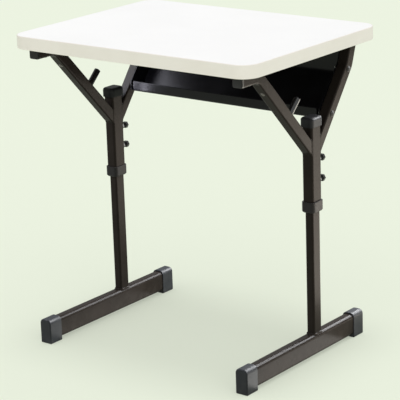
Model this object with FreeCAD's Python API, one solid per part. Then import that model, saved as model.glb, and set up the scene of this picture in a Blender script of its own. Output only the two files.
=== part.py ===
import FreeCAD, Part
import math
import os
from FreeCAD import Placement, Rotation, Vector

# Single-pupil school desk on two telescopic T-legs, in millimetres.
# X runs to the pupil's right, Y to the rear and Z up.
# The origin is on the floor, under the middle of the top.

# Top: particle board, laminated on both faces, with a band round its edge
TOP_WIDTH = 600.0
TOP_DEPTH = 450.0
TOP_HEIGHT = 662.0
TOP_CORNER_RADIUS = 36.0
BOARD_THICKNESS = 25.0
LAMINATE_THICKNESS = 1.0
BAND_THICKNESS = 2.0
BAND_EDGE_RADIUS = 1.5

# Legs: an upper sleeve slides on an inner column that stands on a foot
LEG_INSET = 43.0
COLUMN_Y = 38.0
SLEEVE_WIDTH = 25.0
SLEEVE_DEPTH = 34.0
SLEEVE_WALL = 1.5
SLEEVE_RADIUS = 5.5
SLEEVE_TOP_DROP = 133.0
SLEEVE_LENGTH = 186.0
COLUMN_WIDTH = 19.0
COLUMN_DEPTH = 28.0
COLUMN_WALL = 1.5
COLUMN_RADIUS = 4.5
TRAVEL_DOWN = 21.5
STOP_CLEARANCE = 1.5
SLIDE_CLEARANCE = 0.3

# Plastic mouldings of the telescope
GLIDE_CROWN = 3.0
GLIDE_SKIRT = 10.0
CAP_OVERHANG = 3.0
CAP_SKIRT = 15.0
CAP_CROWN = 4.5
CAP_ROUND = 6.0
COLLAR_OVERHANG = 3.0
COLLAR_GRIP = 16.0
COLLAR_FLOOR = 6.0
COLLAR_CHAMFER = 2.5

# Lock screws, two on the rear face of each sleeve
LOCK_DIAMETER = 8.0
LOCK_ARM_GAP = 8.5
LOCK_PITCH = 43.0
LOCK_NUT_FLATS = 13.0
LOCK_NUT_HEIGHT = 6.5
LOCK_GAP = 9.0
LOCK_HEAD_FLATS = 13.0
LOCK_HEAD_HEIGHT = 6.5

# Square-tube arms from the sleeves to the top
ARM_SIZE = 23.0
ARM_WALL = 1.5
ARM_RADIUS = 3.5
ARM_JOIN_DROP = 187.0
FRONT_ARM_INSET = 28.0
FRONT_ARM_LEVEL = 52.5
FRONT_BEND_RADIUS = 34.0
REAR_ARM_INSET = 47.0
REAR_BEND_LEAD = 16.5
REAR_BEND_DROP = 48.0
REAR_BEND_RADIUS = 40.0
ARM_PLUG_HEAD = 6.0
ARM_PLUG_ROUND = 2.0
ARM_PLUG_INSERT = 16.0
ARM_PLUG_WALL = 2.5
PLATE_LENGTH = 66.0
PLATE_THICKNESS = 3.0
PLATE_RADIUS = 4.0

# Bag peg and vent plug, placed along the front arm from its bend
PEG_ALONG = 145.5
PEG_DIAMETER = 13.5
PEG_LENGTH = 40.0
PEG_DOME = 2.4
VENT_ALONG = 44.0
VENT_STEM = 6.0
VENT_HEAD = 9.0
VENT_RIM = 0.4
VENT_DOME = 1.4
VENT_DEPTH = 5.0

# Screws that hold the top
SCREW_DIAMETER = 5.0
SCREW_HEAD = 10.0
SCREW_HEAD_RIM = 1.0
SCREW_HEAD_DOME = 2.2
SCREW_BITE = 18.0
SCREW_TIP = 4.0
FRONT_SCREW_ALONG = 29.0
PLATE_SCREW_OFFSET = 25.0

# Book tray, folded from one sheet and hung on two bolts through each rear arm
TRAY_SHEET = 1.2
TRAY_BEND_RADIUS = 5.0
TRAY_FOLD_RADIUS = 15.0
TRAY_RELIEF = 6.0
TRAY_SETBACK = 28.0
TRAY_FRONT_MARGIN = 11.0
TRAY_TOP_DROP = 6.0
TRAY_FOLD_DROP = 71.0
TRAY_LIP_HEIGHT = 20.5
TRAY_BOLT_BELOW_BEND = 9.5
TRAY_BOLT_ABOVE_JOIN = 65.7
TRAY_BOLT_TO_LIP = 10.9
TRAY_BOLT_TO_FLOOR = 11.2
TRAY_BOLT_DIAMETER = 6.0
TRAY_BOLT_HEAD = 13.0
TRAY_BOLT_RIM = 0.7
TRAY_BOLT_DOME = 2.9
TRAY_NUT_FLATS = 10.0
TRAY_NUT_HEIGHT = 5.0
TRAY_BOLT_END = 1.5

# Feet: round-cornered tubes along Y, carried clear of the floor by moulded caps
FOOT_FRONT_REACH = 254.0
FOOT_REAR_REACH = 162.0
FOOT_TUBE_WIDTH = 25.0
FOOT_TUBE_HEIGHT = 45.0
FOOT_TUBE_RADIUS = 8.0
FOOT_TUBE_WALL = 1.5
FOOT_TUBE_RAISE = 5.5
FOOT_CAP_WALL = 1.8
FOOT_CAP_CROWN = 3.0
FOOT_CAP_END = 4.0
FOOT_CAP_LENGTH = 35.0
FOOT_CAP_ROUND = 2.5

# Clearance round shanks in their holes, and round plastic pushed on or into a tube
HOLE_CLEARANCE = 0.2
PLUG_CLEARANCE = 0.2

# Levels and faces that several pieces share
TOP_THICKNESS = BOARD_THICKNESS + 2 * LAMINATE_THICKNESS
UNDERSIDE = TOP_HEIGHT - TOP_THICKNESS
LEG_X = TOP_WIDTH / 2 - LEG_INSET
SLEEVE_TOP = UNDERSIDE - SLEEVE_TOP_DROP
SLEEVE_BOTTOM = SLEEVE_TOP - SLEEVE_LENGTH
SLEEVE_FRONT_Y = COLUMN_Y - SLEEVE_DEPTH / 2
SLEEVE_REAR_Y = COLUMN_Y + SLEEVE_DEPTH / 2
COLUMN_TOP = SLEEVE_TOP - TRAVEL_DOWN - STOP_CLEARANCE - GLIDE_CROWN
FOOT_FRONT_Y = COLUMN_Y - FOOT_FRONT_REACH
FOOT_REAR_Y = COLUMN_Y + FOOT_REAR_REACH
FOOT_TUBE_TOP = FOOT_TUBE_RAISE + FOOT_TUBE_HEIGHT
ARM_FACE_X = LEG_X + ARM_SIZE / 2
TRAY_HALF_WIDTH = LEG_X - ARM_SIZE / 2
TRAY_TOP_Z = UNDERSIDE - TRAY_TOP_DROP
TRAY_FOLD_Z = UNDERSIDE - TRAY_FOLD_DROP
FRONT_ARM_END_Y = FRONT_ARM_INSET - TOP_DEPTH / 2
REAR_TOP_Y = TOP_DEPTH / 2 - REAR_ARM_INSET
SIDES = {"left": -1, "right": 1}

# Arm axes in the plane of a leg
FRONT_JOIN = Vector(0, SLEEVE_FRONT_Y, UNDERSIDE - ARM_JOIN_DROP)
FRONT_END = Vector(0, FRONT_ARM_END_Y, UNDERSIDE - ARM_SIZE / 2)
FRONT_BEND = FRONT_END + Vector(0, FRONT_ARM_LEVEL, 0)
REAR_JOIN = Vector(0, SLEEVE_REAR_Y, UNDERSIDE - ARM_JOIN_DROP)
REAR_TOP = Vector(0, REAR_TOP_Y, UNDERSIDE)
REAR_BEND = REAR_TOP - Vector(0, REAR_BEND_LEAD, REAR_BEND_DROP)

# Bolts of the tray on the rear arm's axis, and the tray's front corner below the lower one
REAR_RISE = (REAR_BEND - REAR_JOIN).normalize()
TRAY_BOLTS = [REAR_BEND - REAR_RISE * TRAY_BOLT_BELOW_BEND, REAR_JOIN + REAR_RISE * TRAY_BOLT_ABOVE_JOIN]
TRAY_CORNER = TRAY_BOLTS[1] - Vector(0, TRAY_BOLT_TO_LIP, TRAY_BOLT_TO_FLOOR)

X_AXIS = Vector(1, 0, 0)
Y_AXIS = Vector(0, 1, 0)
Z_AXIS = Vector(0, 0, 1)


def direction(start, end):
    """Unit vector from one point to another."""
    return (end - start).normalize()


def rear_normal(along):
    """Normal of a line in the YZ plane that rises along the given direction, to the rear and down."""
    return Vector(0, along.z, -along.y)


def lock_heights():
    """Heights of the two lock screws of a leg, the upper one under the rear arm's lower corner."""
    heel = REAR_JOIN.z - ARM_SIZE / 2 / REAR_RISE.y
    upper = heel - LOCK_ARM_GAP - LOCK_NUT_FLATS / 2
    return {"upper": upper, "lower": upper - LOCK_PITCH}


def rounded_rect(width, depth, radius):
    """Closed outline round the origin in the XY plane, with four round corners."""
    x, y = width / 2, depth / 2
    kx, ky = x - radius, y - radius
    mid = radius * math.sqrt(0.5)
    edges = []
    for turn in range(4):
        hx, hy = (x, y) if turn % 2 == 0 else (y, x)
        ix, iy = (kx, ky) if turn % 2 == 0 else (ky, kx)
        side = Part.LineSegment(Vector(hx, -iy, 0), Vector(hx, iy, 0)).toShape()
        corner = Part.Arc(Vector(hx, iy, 0), Vector(ix + mid, iy + mid, 0), Vector(ix, hy, 0)).toShape()
        for edge in (side, corner):
            edge.rotate(Vector(), Z_AXIS, 90 * turn)
            edges.append(edge)
    return Part.Wire(edges)


def prism(outline, base_z, height):
    """Upright solid on an outline of the XY plane."""
    solid = Part.Face(outline).extrude(Z_AXIS * height)
    solid.translate(Z_AXIS * base_z)
    return solid


def leg_prism(width, depth, radius, base_z, height):
    """Upright round-cornered block on the axis of a leg."""
    solid = prism(rounded_rect(width, depth, radius), base_z, height)
    solid.translate(Y_AXIS * COLUMN_Y)
    return solid


def level_edges(solid, level):
    """Edges of a solid that lie at one height."""
    return [e for e in solid.Edges if e.BoundBox.ZLength < 1e-6 and abs(e.BoundBox.ZMin - level) < 1e-6]


def hexagon(flats, height, base, axis):
    """Hexagonal prism across the given flats, from a base point along an axis."""
    radius = flats / math.sqrt(3)
    corners = [Vector(radius * math.cos(a), radius * math.sin(a), 0)
               for a in (math.radians(60 * i) for i in range(7))]
    solid = Part.Face(Part.makePolygon(corners)).extrude(Z_AXIS * height)
    solid.Placement = Placement(base, Rotation(Z_AXIS, axis))
    return solid


def domed_pin(diameter, straight, dome, base, axis):
    """Round pin from a base point along an axis: a straight stretch, then a dome of the given height."""
    radius = diameter / 2
    ball = (radius ** 2 + dome ** 2) / (2 * dome)
    half = math.asin(min(1.0, radius / ball)) / 2
    centre, foot = Vector(0, 0, 0), Vector(radius, 0, 0)
    rim, tip = Vector(radius, 0, straight), Vector(0, 0, straight + dome)
    crown = Vector(ball * math.sin(half), 0, tip.z - ball + ball * math.cos(half))
    edges = Part.makePolygon([tip, centre, foot, rim]).Edges + [Part.Arc(rim, crown, tip).toShape()]
    solid = Part.Face(Part.Wire(edges)).revolve(Vector(), Z_AXIS, 360)
    solid.Placement = Placement(base, Rotation(Z_AXIS, axis))
    return solid


def rounded_path(points, radii):
    """Straight runs through the points, with a tangent arc of the given radius at each inner point."""
    edges = []
    start = points[0]
    for before, corner, after, radius in zip(points, points[1:], points[2:], radii):
        into, out = direction(before, corner), direction(corner, after)
        turn = into.getAngle(out)
        reach = radius * math.tan(turn / 2)
        inward = (out - into).normalize()
        first, last = corner - into * reach, corner + out * reach
        middle = corner + inward * (radius / math.cos(turn / 2) - radius)
        edges.append(Part.LineSegment(start, first).toShape())
        edges.append(Part.Arc(first, middle, last).toShape())
        start = last
    edges.append(Part.LineSegment(start, points[-1]).toShape())
    return edges


def swept(points, bend_radius, width, corner_radius):
    """Round-cornered square bar that follows a bent path."""
    path = Part.Wire(rounded_path(points, [bend_radius]))
    section = rounded_rect(width, width, corner_radius)
    section.Placement = Placement(points[0], Rotation(Z_AXIS, direction(points[0], points[1])))
    return path.makePipeShell([section], True, False)


def bent_tube(points, bend_radius):
    """Hollow square tube of the arms along a bent path, open at both ends."""
    outer = swept(points, bend_radius, ARM_SIZE, ARM_RADIUS)
    bore = swept(points, bend_radius, ARM_SIZE - 2 * ARM_WALL, ARM_RADIUS - ARM_WALL)
    return outer.cut(bore)


def drill(diameter, length, base, axis):
    """Cutter for the hole of a shank, with its clearance."""
    return Part.makeCylinder(diameter / 2 + HOLE_CLEARANCE, length, base, axis)


def at_side(solid, side):
    """Copy of a solid, moved from the middle plane to a leg."""
    moved = solid.copy()
    moved.translate(X_AXIS * LEG_X * SIDES[side])
    return moved


def sleeve_block():
    """Outer form of a sleeve, filled."""
    return leg_prism(SLEEVE_WIDTH, SLEEVE_DEPTH, SLEEVE_RADIUS, SLEEVE_BOTTOM, SLEEVE_LENGTH)


def foot_block(inset):
    """Form of a foot tube, filled, between the end walls of its caps, moved inwards by the inset."""
    length = FOOT_REAR_Y - FOOT_FRONT_Y - 2 * FOOT_CAP_END
    width, height = FOOT_TUBE_WIDTH - 2 * inset, FOOT_TUBE_HEIGHT - 2 * inset
    outline = rounded_rect(width, height, FOOT_TUBE_RADIUS - inset)
    solid = Part.Face(outline).extrude(Z_AXIS * length)
    start = Vector(0, FOOT_FRONT_Y + FOOT_CAP_END, FOOT_TUBE_RAISE + FOOT_TUBE_HEIGHT / 2)
    solid.Placement = Placement(start, Rotation(X_AXIS, -90))
    return solid


def front_screw_base():
    """Seat of the screw under the front arm's level stretch."""
    return FRONT_END + Vector(0, FRONT_SCREW_ALONG, -ARM_SIZE / 2)


def plate_screw_bases():
    """Seats of the two screws under a rear mounting plate."""
    return [Vector(0, REAR_TOP_Y + offset, UNDERSIDE - PLATE_THICKNESS)
            for offset in (-PLATE_SCREW_OFFSET, PLATE_SCREW_OFFSET)]


def wood_screw(base):
    """Pan-head screw that rises from its seat into the board, with a pointed end."""
    reach = UNDERSIDE + SCREW_BITE - base.z
    head = domed_pin(SCREW_HEAD, SCREW_HEAD_RIM, SCREW_HEAD_DOME, base, -Z_AXIS)
    shank = Part.makeCylinder(SCREW_DIAMETER / 2, reach - SCREW_TIP, base, Z_AXIS)
    point = Part.makeCone(SCREW_DIAMETER / 2, 0, SCREW_TIP, base + Z_AXIS * (reach - SCREW_TIP), Z_AXIS)
    return head.fuse(shank).fuse(point)


def desktop():
    """Board, its two laminate sheets and the edge band."""
    inner = rounded_rect(TOP_WIDTH - 2 * BAND_THICKNESS, TOP_DEPTH - 2 * BAND_THICKNESS,
                         TOP_CORNER_RADIUS - BAND_THICKNESS)
    starts = [Vector(0, base.y, UNDERSIDE) for base in [front_screw_base()] + plate_screw_bases()]
    holes = [at_side(drill(SCREW_DIAMETER, SCREW_BITE + HOLE_CLEARANCE, start, Z_AXIS), side)
             for side in SIDES for start in starts]
    band = prism(rounded_rect(TOP_WIDTH, TOP_DEPTH, TOP_CORNER_RADIUS), UNDERSIDE, TOP_THICKNESS)
    rims = level_edges(band, UNDERSIDE) + level_edges(band, TOP_HEIGHT)
    band = band.makeFillet(BAND_EDGE_RADIUS, rims).cut(prism(inner, UNDERSIDE, TOP_THICKNESS))
    return {
        "desktop_board": prism(inner, UNDERSIDE + LAMINATE_THICKNESS, BOARD_THICKNESS).cut(holes),
        "desktop_backing": prism(inner, UNDERSIDE, LAMINATE_THICKNESS).cut(holes),
        "desktop_laminate": prism(inner, TOP_HEIGHT - LAMINATE_THICKNESS, LAMINATE_THICKNESS),
        "desktop_edge_band": band,
    }


def sleeve():
    """Upper tube of a leg, drilled in its rear wall for the lock screws."""
    bore = leg_prism(SLEEVE_WIDTH - 2 * SLEEVE_WALL, SLEEVE_DEPTH - 2 * SLEEVE_WALL,
                     SLEEVE_RADIUS - SLEEVE_WALL, SLEEVE_BOTTOM, SLEEVE_LENGTH)
    holes = [drill(LOCK_DIAMETER, SLEEVE_DEPTH / 2, Vector(0, COLUMN_Y, z), Y_AXIS)
             for z in lock_heights().values()]
    return sleeve_block().cut(bore).cut(holes)


def sleeve_cap():
    """Domed cap pushed over the top of a sleeve."""
    top = SLEEVE_TOP + CAP_CROWN
    block = leg_prism(SLEEVE_WIDTH + 2 * CAP_OVERHANG, SLEEVE_DEPTH + 2 * CAP_OVERHANG,
                      SLEEVE_RADIUS + CAP_OVERHANG, SLEEVE_TOP - CAP_SKIRT, CAP_SKIRT + CAP_CROWN)
    block = block.makeFillet(CAP_ROUND, level_edges(block, top))
    socket = leg_prism(SLEEVE_WIDTH + 2 * PLUG_CLEARANCE, SLEEVE_DEPTH + 2 * PLUG_CLEARANCE,
                       SLEEVE_RADIUS + PLUG_CLEARANCE, SLEEVE_TOP - CAP_SKIRT, CAP_SKIRT)
    return block.cut(socket)


def sleeve_collar():
    """Collar round the lower end of a sleeve, whose floor guides the inner column."""
    bottom = SLEEVE_BOTTOM - COLLAR_FLOOR
    block = leg_prism(SLEEVE_WIDTH + 2 * COLLAR_OVERHANG, SLEEVE_DEPTH + 2 * COLLAR_OVERHANG,
                      SLEEVE_RADIUS + COLLAR_OVERHANG, bottom, COLLAR_FLOOR + COLLAR_GRIP)
    block = block.makeChamfer(COLLAR_CHAMFER, level_edges(block, bottom))
    socket = leg_prism(SLEEVE_WIDTH + 2 * PLUG_CLEARANCE, SLEEVE_DEPTH + 2 * PLUG_CLEARANCE,
                       SLEEVE_RADIUS + PLUG_CLEARANCE, SLEEVE_BOTTOM, COLLAR_GRIP)
    guide = leg_prism(COLUMN_WIDTH + 2 * SLIDE_CLEARANCE, COLUMN_DEPTH + 2 * SLIDE_CLEARANCE,
                      COLUMN_RADIUS + SLIDE_CLEARANCE, bottom, COLLAR_FLOOR)
    return block.cut(socket).cut(guide)


def front_arm():
    """Bent tube from the sleeve's front face, up and forward, then level under the top."""
    slope = direction(FRONT_BEND, FRONT_JOIN)
    inside = FRONT_JOIN + slope * (SLEEVE_DEPTH / 2 / slope.y)
    tube = bent_tube([FRONT_END, FRONT_BEND, inside], FRONT_BEND_RADIUS).cut(sleeve_block())
    vent_base, vent_axis = vent_seat()
    screw_hole = drill(SCREW_DIAMETER, ARM_SIZE, front_screw_base(), Z_AXIS)
    vent_hole = drill(VENT_STEM, ARM_SIZE / 2, vent_base, -vent_axis)
    return tube.cut([screw_hole, vent_hole])


def vent_seat():
    """Seat of the vent plug on the front arm's lower face, and the direction that its head faces."""
    slope = direction(FRONT_BEND, FRONT_JOIN)
    down = Vector(0, slope.z, -slope.y)
    return FRONT_BEND + slope * VENT_ALONG + down * (ARM_SIZE / 2), down


def vent_plug():
    """Small domed plug pushed into the front arm's vent hole."""
    base, axis = vent_seat()
    head = domed_pin(VENT_HEAD, VENT_RIM, VENT_DOME, base, axis)
    return head.fuse(Part.makeCylinder(VENT_STEM / 2, VENT_DEPTH, base, -axis))


def bag_peg():
    """Round-ended peg that stands square on the front arm's upper face."""
    slope = direction(FRONT_BEND, FRONT_JOIN)
    up = Vector(0, -slope.z, slope.y)
    base = FRONT_BEND + slope * PEG_ALONG + up * (ARM_SIZE / 2)
    return domed_pin(PEG_DIAMETER, PEG_LENGTH - PEG_DOME, PEG_DOME, base, up)


def front_arm_plug():
    """End plug of the front arm: a rounded head and a hollow insert."""
    head = prism(rounded_rect(ARM_SIZE, ARM_SIZE, ARM_RADIUS), 0, ARM_PLUG_HEAD)
    head = head.makeFillet(ARM_PLUG_ROUND, level_edges(head, 0))
    width = ARM_SIZE - 2 * ARM_WALL - 2 * PLUG_CLEARANCE
    insert = prism(rounded_rect(width, width, ARM_RADIUS - ARM_WALL), ARM_PLUG_HEAD, ARM_PLUG_INSERT)
    hollow = width - 2 * ARM_PLUG_WALL
    bore = prism(rounded_rect(hollow, hollow, ARM_PLUG_WALL / 2), ARM_PLUG_HEAD, ARM_PLUG_INSERT)
    plug = head.fuse(insert.cut(bore))
    plug.Placement = Placement(FRONT_END - Y_AXIS * ARM_PLUG_HEAD, Rotation(Z_AXIS, Y_AXIS))
    return plug


def rear_arm():
    """Bent tube from the sleeve's rear face, up and back to the plate under the top."""
    low, high = rear_arm_runs()
    inside = REAR_JOIN - low * (SLEEVE_DEPTH / 2 / low.y)
    beyond = REAR_TOP + high * ARM_SIZE
    tube = bent_tube([inside, REAR_BEND, beyond], REAR_BEND_RADIUS)
    above = Part.makeBox(2 * ARM_SIZE, 4 * ARM_SIZE, 2 * ARM_SIZE,
                         Vector(-ARM_SIZE, REAR_TOP_Y - 2 * ARM_SIZE, UNDERSIDE - PLATE_THICKNESS))
    holes = [drill(TRAY_BOLT_DIAMETER, ARM_SIZE, point - X_AXIS * (ARM_SIZE / 2), X_AXIS)
             for point in TRAY_BOLTS]
    return tube.cut([sleeve_block(), above] + holes)


def rear_mount_plate():
    """Plate welded on the rear arm's end, with a screw hole at each end."""
    outline = rounded_rect(ARM_SIZE, PLATE_LENGTH, PLATE_RADIUS)
    plate = prism(outline, UNDERSIDE - PLATE_THICKNESS, PLATE_THICKNESS)
    plate.translate(Y_AXIS * REAR_TOP_Y)
    return plate.cut([drill(SCREW_DIAMETER, PLATE_THICKNESS, base, Z_AXIS) for base in plate_screw_bases()])


def lock_nut(height_z):
    """Nut welded on the sleeve's rear face."""
    base = Vector(0, SLEEVE_REAR_Y, height_z)
    return hexagon(LOCK_NUT_FLATS, LOCK_NUT_HEIGHT, base, Y_AXIS).cut(
        drill(LOCK_DIAMETER, LOCK_NUT_HEIGHT, base, Y_AXIS))


def lock_bolt(height_z):
    """Lock screw, whose tip bears on the inner column and whose head stands off behind the nut."""
    tip = Vector(0, COLUMN_Y + COLUMN_DEPTH / 2 + SLIDE_CLEARANCE, height_z)
    head_y = SLEEVE_REAR_Y + LOCK_NUT_HEIGHT + LOCK_GAP
    shank = Part.makeCylinder(LOCK_DIAMETER / 2, head_y - tip.y, tip, Y_AXIS)
    return shank.fuse(hexagon(LOCK_HEAD_FLATS, LOCK_HEAD_HEIGHT, Vector(0, head_y, height_z), Y_AXIS))


def rear_arm_runs():
    """Directions of the rear arm below and above its bend, which the tray's side flanges follow."""
    return REAR_RISE, direction(REAR_BEND, REAR_TOP)


def mitre(corner, low, high, offset):
    """Corner of a bent line in the YZ plane, moved to the rear by an offset square to both its runs."""
    half = low.getAngle(high) / 2
    return corner + (rear_normal(low) + rear_normal(high)).normalize() * (offset / math.cos(half))


def on_line(point, along, height_z):
    """Point at a height on a line through a point."""
    return point + along * ((height_z - point.z) / along.z)


def tray_section(inset, top_z):
    """Points of the tray's sheet from its front corner to its top edge, moved inwards by the inset."""
    fold = on_line(REAR_BEND + rear_normal(REAR_RISE) * TRAY_SETBACK, REAR_RISE, TRAY_FOLD_Z)
    fold = mitre(fold, REAR_RISE, Z_AXIS, -inset)
    corner = TRAY_CORNER + Vector(0, inset, inset)
    return [corner, on_line(fold, REAR_RISE, corner.z), fold, on_line(fold, Z_AXIS, top_z)]


def slab(edges, half_width):
    """Solid across the desk on a closed outline in the YZ plane."""
    solid = Part.Face(Part.Wire(edges)).extrude(X_AXIS * 2 * half_width)
    solid.translate(X_AXIS * -half_width)
    return solid


def lip_relief(side, top_z):
    """Cutter that parts one end of the lip from the side flange, as a folded corner needs."""
    end_x = TRAY_HALF_WIDTH - TRAY_SHEET
    start_x = end_x - TRAY_RELIEF if SIDES[side] > 0 else -end_x
    return Part.makeBox(TRAY_RELIEF, TRAY_BEND_RADIUS + TRAY_SHEET, top_z - TRAY_CORNER.z,
                        TRAY_CORNER + X_AXIS * start_x)


def book_tray():
    """Rack between the rear arms: back panel with a fold, floor, front lip and two side flanges."""
    low, high = rear_arm_runs()
    brow = mitre(REAR_BEND, low, high, -TRAY_FRONT_MARGIN)
    sheet = tray_section(0, TRAY_TOP_Z)
    lip_top = sheet[0] + Z_AXIS * TRAY_LIP_HEIGHT
    radii = [TRAY_BEND_RADIUS, TRAY_BEND_RADIUS, TRAY_FOLD_RADIUS]
    outside = rounded_path([lip_top] + sheet, radii)
    outside += Part.makePolygon([sheet[-1], on_line(brow, high, TRAY_TOP_Z), brow, lip_top]).Edges
    above = TRAY_TOP_Z + TRAY_SHEET
    hollow = tray_section(TRAY_SHEET, above)
    mouth = Vector(0, hollow[0].y, above)
    inside = rounded_path([mouth] + hollow, [radius - TRAY_SHEET for radius in radii])
    inside += Part.makePolygon([hollow[-1], mouth]).Edges
    tray = slab(outside, TRAY_HALF_WIDTH).cut(slab(inside, TRAY_HALF_WIDTH - TRAY_SHEET))
    tray = tray.cut([lip_relief(side, lip_top.z + TRAY_RELIEF) for side in SIDES])
    return tray.cut([drill(TRAY_BOLT_DIAMETER, 2 * TRAY_HALF_WIDTH, point - X_AXIS * TRAY_HALF_WIDTH, X_AXIS)
                     for point in TRAY_BOLTS])


def tray_bolt(point, side):
    """Domed bolt from the outer face of a rear arm, through the arm and the tray's flange."""
    outward = X_AXIS * SIDES[side]
    seat = point + outward * ARM_FACE_X
    length = ARM_SIZE + TRAY_SHEET + TRAY_NUT_HEIGHT + TRAY_BOLT_END
    head = domed_pin(TRAY_BOLT_HEAD, TRAY_BOLT_RIM, TRAY_BOLT_DOME, seat, outward)
    return head.fuse(Part.makeCylinder(TRAY_BOLT_DIAMETER / 2, length, seat, -outward))


def tray_nut(point, side):
    """Nut of a tray bolt, on the inner face of the tray's flange."""
    outward = X_AXIS * SIDES[side]
    seat = point + outward * (TRAY_HALF_WIDTH - TRAY_SHEET)
    nut = hexagon(TRAY_NUT_FLATS, TRAY_NUT_HEIGHT, seat, -outward)
    return nut.cut(drill(TRAY_BOLT_DIAMETER, TRAY_NUT_HEIGHT, seat, -outward))


def inner_column():
    """Lower tube of a leg, coped at its foot to sit on the round top of the foot tube."""
    base = FOOT_TUBE_TOP - FOOT_TUBE_RADIUS
    height = COLUMN_TOP - base
    outer = leg_prism(COLUMN_WIDTH, COLUMN_DEPTH, COLUMN_RADIUS, base, height)
    bore = leg_prism(COLUMN_WIDTH - 2 * COLUMN_WALL, COLUMN_DEPTH - 2 * COLUMN_WALL,
                     COLUMN_RADIUS - COLUMN_WALL, base, height)
    return outer.cut([bore, foot_block(0)])


def column_glide():
    """Glide on the top of an inner column, a running fit in the sleeve."""
    gap = 2 * (SLEEVE_WALL + SLIDE_CLEARANCE)
    block = leg_prism(SLEEVE_WIDTH - gap, SLEEVE_DEPTH - gap, SLEEVE_RADIUS - SLEEVE_WALL,
                      COLUMN_TOP - GLIDE_SKIRT, GLIDE_SKIRT + GLIDE_CROWN)
    return block.cut(leg_prism(COLUMN_WIDTH, COLUMN_DEPTH, COLUMN_RADIUS,
                               COLUMN_TOP - GLIDE_SKIRT, GLIDE_SKIRT))


def foot_tube():
    """Round-cornered tube of a foot, open at both ends under its caps."""
    return foot_block(0).cut(foot_block(FOOT_TUBE_WALL))


def foot_cap(end_y, inward):
    """Moulded cap on one end of a foot: a round-topped shell with a flat sole on the floor."""
    half = FOOT_TUBE_WIDTH / 2 + FOOT_CAP_WALL
    top = FOOT_TUBE_TOP + FOOT_CAP_CROWN
    crown = FOOT_TUBE_RADIUS + FOOT_CAP_WALL
    sole = Vector(0, 0, 0)
    corners = [Vector(half, 0, 0), Vector(half, 0, top), Vector(-half, 0, top), Vector(-half, 0, 0)]
    radii = [FOOT_CAP_ROUND, crown, crown, FOOT_CAP_ROUND]
    outline = Part.Wire(rounded_path([sole] + corners + [sole], radii))
    block = Part.Face(outline).extrude(Y_AXIS * FOOT_CAP_LENGTH * inward)
    rim = [e for e in block.Edges if e.BoundBox.YLength < 1e-6 and abs(e.BoundBox.YMin) < 1e-6]
    block = block.makeFillet(FOOT_CAP_ROUND, rim)
    block.translate(Y_AXIS * end_y)
    return block.cut(foot_block(0))


def collect():
    """All solids of the desk by node name."""
    nodes = desktop()
    nodes["book_tray"] = book_tray()
    groups = {"front_screws": [], "rear_screws": [], "tray_bolts": [], "tray_nuts": [], "arm_vent_plugs": []}
    for side in SIDES:
        per_leg = {
            "sleeve": sleeve(), "sleeve_cap": sleeve_cap(), "sleeve_collar": sleeve_collar(),
            "front_arm": front_arm(), "front_arm_plug": front_arm_plug(), "bag_peg": bag_peg(),
            "rear_arm": rear_arm(), "rear_mount_plate": rear_mount_plate(),
            "inner_column": inner_column(), "column_glide": column_glide(), "foot_tube": foot_tube(),
            "foot_cap_front": foot_cap(FOOT_FRONT_Y, 1), "foot_cap_rear": foot_cap(FOOT_REAR_Y, -1),
            "lock_nuts": Part.makeCompound([lock_nut(z) for z in lock_heights().values()]),
        }
        for level, height_z in lock_heights().items():
            per_leg["lock_bolt_" + level] = lock_bolt(height_z)
        for name, solid in per_leg.items():
            nodes[name + "_" + side] = at_side(solid, side)
        groups["front_screws"].append(at_side(wood_screw(front_screw_base()), side))
        groups["rear_screws"] += [at_side(wood_screw(base), side) for base in plate_screw_bases()]
        groups["arm_vent_plugs"].append(at_side(vent_plug(), side))
        for point in TRAY_BOLTS:
            groups["tray_bolts"].append(tray_bolt(point, side))
            groups["tray_nuts"].append(tray_nut(point, side))
    for name, solids in groups.items():
        nodes[name] = Part.makeCompound(solids)
    return nodes


os.makedirs("parts", exist_ok=True)
for node, shape in collect().items():
    shape.exportStep("parts/" + node + ".step")
    print(node, len(shape.Solids), "solid(s)", round(shape.Volume / 1000, 2), "cm3", shape.isValid())
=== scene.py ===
"""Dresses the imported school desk: a finish for every solid, weld beads, threaded lock screws and a studio."""
import logging
import math
from dataclasses import dataclass
from enum import Enum
from typing import ClassVar

import bmesh
import bpy
from mathutils import Matrix, Vector


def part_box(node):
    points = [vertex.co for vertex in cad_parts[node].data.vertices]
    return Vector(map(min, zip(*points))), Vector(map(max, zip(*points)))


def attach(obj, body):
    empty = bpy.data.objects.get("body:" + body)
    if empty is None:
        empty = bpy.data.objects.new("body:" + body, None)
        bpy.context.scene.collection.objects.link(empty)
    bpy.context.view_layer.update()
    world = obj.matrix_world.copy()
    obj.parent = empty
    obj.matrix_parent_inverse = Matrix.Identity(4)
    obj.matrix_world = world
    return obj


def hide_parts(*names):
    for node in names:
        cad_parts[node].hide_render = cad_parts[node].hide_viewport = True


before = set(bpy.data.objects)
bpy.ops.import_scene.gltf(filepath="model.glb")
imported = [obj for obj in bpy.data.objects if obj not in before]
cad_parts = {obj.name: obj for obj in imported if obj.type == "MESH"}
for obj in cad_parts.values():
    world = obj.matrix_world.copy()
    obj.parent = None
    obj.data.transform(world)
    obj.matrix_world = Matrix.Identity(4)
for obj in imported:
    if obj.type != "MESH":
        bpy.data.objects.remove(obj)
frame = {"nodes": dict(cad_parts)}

LOG = logging.getLogger("school_desk")
MM = 0.001
MERGE_DISTANCE = 1e-6
SHARP_ANGLE = math.radians(35.0)
FEET = ("foot_tube", "foot_cap", "weld_column_foot")

Colour = tuple[float, float, float]
Point = tuple[float, float, float]
Pair = tuple[float, float]
Loop = list[bmesh.types.BMEdge]
Socket = bpy.types.NodeSocket

UNIT: Pair = (0.0, 1.0)
WHITE: Colour = (1.0, 1.0, 1.0)


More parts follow.
